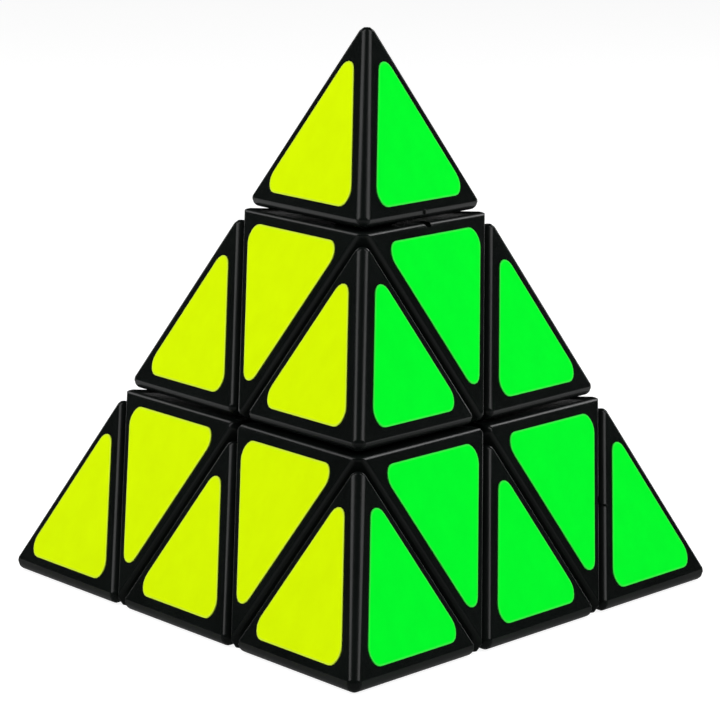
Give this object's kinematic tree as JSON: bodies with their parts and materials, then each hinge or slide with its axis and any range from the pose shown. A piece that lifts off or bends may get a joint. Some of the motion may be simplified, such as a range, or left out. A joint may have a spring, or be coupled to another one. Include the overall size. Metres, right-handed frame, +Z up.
{
  "type": "pyramid twisty puzzle",
  "caption": "Tetrahedral twisty puzzle: black pieces with coloured triangular stickers turn in layers about the corners, with a turning tip at each corner.",
  "frame": {"origin": "middle of the bounding rectangle of the base, on the plane that the base stickers rest on", "axes": "+Z up through the top corner, -Y towards the front corner (to the viewer), +X to the right"},
  "size_m": [0.0982, 0.0854, 0.0806],
  "materials": {
    "black_plastic": "glossy black ABS, lightly worn",
    "core_plastic": "satin dark grey",
    "screw_steel": "zinc plated",
    "spring_steel": "drawn wire",
    "washer_steel": "stamped",
    "vinyl_yellow": "satin fluorescent yellow vinyl",
    "vinyl_green": "satin fluorescent green vinyl",
    "vinyl_red": "satin red vinyl",
    "vinyl_blue": "satin blue vinyl"
  },
  "bodies": {
    "core": {"core_spider": "core_plastic", "axle_screws": "screw_steel", "tension_springs": "spring_steel", "spring_washers": "washer_steel"},
    "centre_top": {"axial_top": "black_plastic", "sticker_yellow_axial_top": "vinyl_yellow", "sticker_green_axial_top": "vinyl_green", "sticker_red_axial_top": "vinyl_red"},
    "centre_front": {"axial_front": "black_plastic", "sticker_yellow_axial_front": "vinyl_yellow", "sticker_green_axial_front": "vinyl_green", "sticker_blue_axial_front": "vinyl_blue"},
    "centre_right": {"axial_right": "black_plastic", "sticker_green_axial_right": "vinyl_green", "sticker_red_axial_right": "vinyl_red", "sticker_blue_axial_right": "vinyl_blue"},
    "centre_left": {"axial_left": "black_plastic", "sticker_yellow_axial_left": "vinyl_yellow", "sticker_red_axial_left": "vinyl_red", "sticker_blue_axial_left": "vinyl_blue"},
    "wing_top_front": {"edge_top_front": "black_plastic", "sticker_yellow_edge_top_front": "vinyl_yellow", "sticker_green_edge_top_front": "vinyl_green"},
    "wing_top_right": {"edge_top_right": "black_plastic", "sticker_green_edge_top_right": "vinyl_green", "sticker_red_edge_top_right": "vinyl_red"},
    "wing_top_left": {"edge_top_left": "black_plastic", "sticker_yellow_edge_top_left": "vinyl_yellow", "sticker_red_edge_top_left": "vinyl_red"},
    "wing_front_right": {"edge_front_right": "black_plastic", "sticker_green_edge_front_right": "vinyl_green", "sticker_blue_edge_front_right": "vinyl_blue"},
    "wing_right_left": {"edge_right_left": "black_plastic", "sticker_red_edge_right_left": "vinyl_red", "sticker_blue_edge_right_left": "vinyl_blue"},
    "wing_left_front": {"edge_left_front": "black_plastic", "sticker_yellow_edge_left_front": "vinyl_yellow", "sticker_blue_edge_left_front": "vinyl_blue"},
    "point_top": {"tip_top": "black_plastic", "tip_plug_top": "black_plastic", "sticker_yellow_tip_top": "vinyl_yellow", "sticker_green_tip_top": "vinyl_green", "sticker_red_tip_top": "vinyl_red"},
    "point_front": {"tip_front": "black_plastic", "tip_plug_front": "black_plastic", "sticker_yellow_tip_front": "vinyl_yellow", "sticker_green_tip_front": "vinyl_green", "sticker_blue_tip_front": "vinyl_blue"},
    "point_right": {"tip_right": "black_plastic", "tip_plug_right": "black_plastic", "sticker_green_tip_right": "vinyl_green", "sticker_red_tip_right": "vinyl_red", "sticker_blue_tip_right": "vinyl_blue"},
    "point_left": {"tip_left": "black_plastic", "tip_plug_left": "black_plastic", "sticker_yellow_tip_left": "vinyl_yellow", "sticker_red_tip_left": "vinyl_red", "sticker_blue_tip_left": "vinyl_blue"}
  },
  "joints": [
    {"name": "layer_top", "type": "hinge", "parent": "core", "child": "centre_top", "pos_m": [0, 0.01377, 0.02092], "axis": [0, 0, 1], "range_deg": [-240, 120]},
    {"name": "layer_front", "type": "hinge", "parent": "core", "child": "centre_front", "pos_m": [0, 0.01377, 0.02092], "axis": [0, -0.9428, -0.3333], "range_deg": [-240, 120]},
    {"name": "layer_right", "type": "hinge", "parent": "core", "child": "centre_right", "pos_m": [0, 0.01377, 0.02092], "axis": [0.8165, 0.4714, -0.3333], "range_deg": [-240, 120]},
    {"name": "layer_left", "type": "hinge", "parent": "core", "child": "centre_left", "pos_m": [0, 0.01377, 0.02092], "axis": [-0.8165, 0.4714, -0.3333], "range_deg": [-240, 120]},
    {"name": "edge_top_front_with_front", "type": "hinge", "parent": "centre_top", "child": "wing_top_front", "pos_m": [0, 0.01377, 0.02092], "axis": [0, -0.9428, -0.3333], "range_deg": [-240, 120]},
    {"name": "edge_top_right_with_right", "type": "hinge", "parent": "centre_top", "child": "wing_top_right", "pos_m": [0, 0.01377, 0.02092], "axis": [0.8165, 0.4714, -0.3333], "range_deg": [-240, 120]},
    {"name": "edge_top_left_with_left", "type": "hinge", "parent": "centre_top", "child": "wing_top_left", "pos_m": [0, 0.01377, 0.02092], "axis": [-0.8165, 0.4714, -0.3333], "range_deg": [-240, 120]},
    {"name": "edge_front_right_with_right", "type": "hinge", "parent": "centre_front", "child": "wing_front_right", "pos_m": [0, 0.01377, 0.02092], "axis": [0.8165, 0.4714, -0.3333], "range_deg": [-240, 120]},
    {"name": "edge_right_left_with_left", "type": "hinge", "parent": "centre_right", "child": "wing_right_left", "pos_m": [0, 0.01377, 0.02092], "axis": [-0.8165, 0.4714, -0.3333], "range_deg": [-240, 120]},
    {"name": "edge_left_front_with_front", "type": "hinge", "parent": "centre_left", "child": "wing_left_front", "pos_m": [0, 0.01377, 0.02092], "axis": [0, -0.9428, -0.3333], "range_deg": [-240, 120]},
    {"name": "tip_turn_top", "type": "hinge", "parent": "centre_top", "child": "point_top", "pos_m": [0, 0.01377, 0.02092], "axis": [0, 0, 1], "continuous": true},
    {"name": "tip_turn_front", "type": "hinge", "parent": "centre_front", "child": "point_front", "pos_m": [0, 0.01377, 0.02092], "axis": [0, -0.9428, -0.3333], "continuous": true},
    {"name": "tip_turn_right", "type": "hinge", "parent": "centre_right", "child": "point_right", "pos_m": [0, 0.01377, 0.02092], "axis": [0.8165, 0.4714, -0.3333], "continuous": true},
    {"name": "tip_turn_left", "type": "hinge", "parent": "centre_left", "child": "point_left", "pos_m": [0, 0.01377, 0.02092], "axis": [-0.8165, 0.4714, -0.3333], "continuous": true}
  ],
  "couplings": [
    {"joint": "edge_top_front_with_front", "follows": "layer_front", "ratio": 1},
    {"joint": "edge_top_right_with_right", "follows": "layer_right", "ratio": 1},
    {"joint": "edge_top_left_with_left", "follows": "layer_left", "ratio": 1},
    {"joint": "edge_front_right_with_right", "follows": "layer_right", "ratio": 1},
    {"joint": "edge_right_left_with_left", "follows": "layer_left", "ratio": 1},
    {"joint": "edge_left_front_with_front", "follows": "layer_front", "ratio": 1}
  ]
}
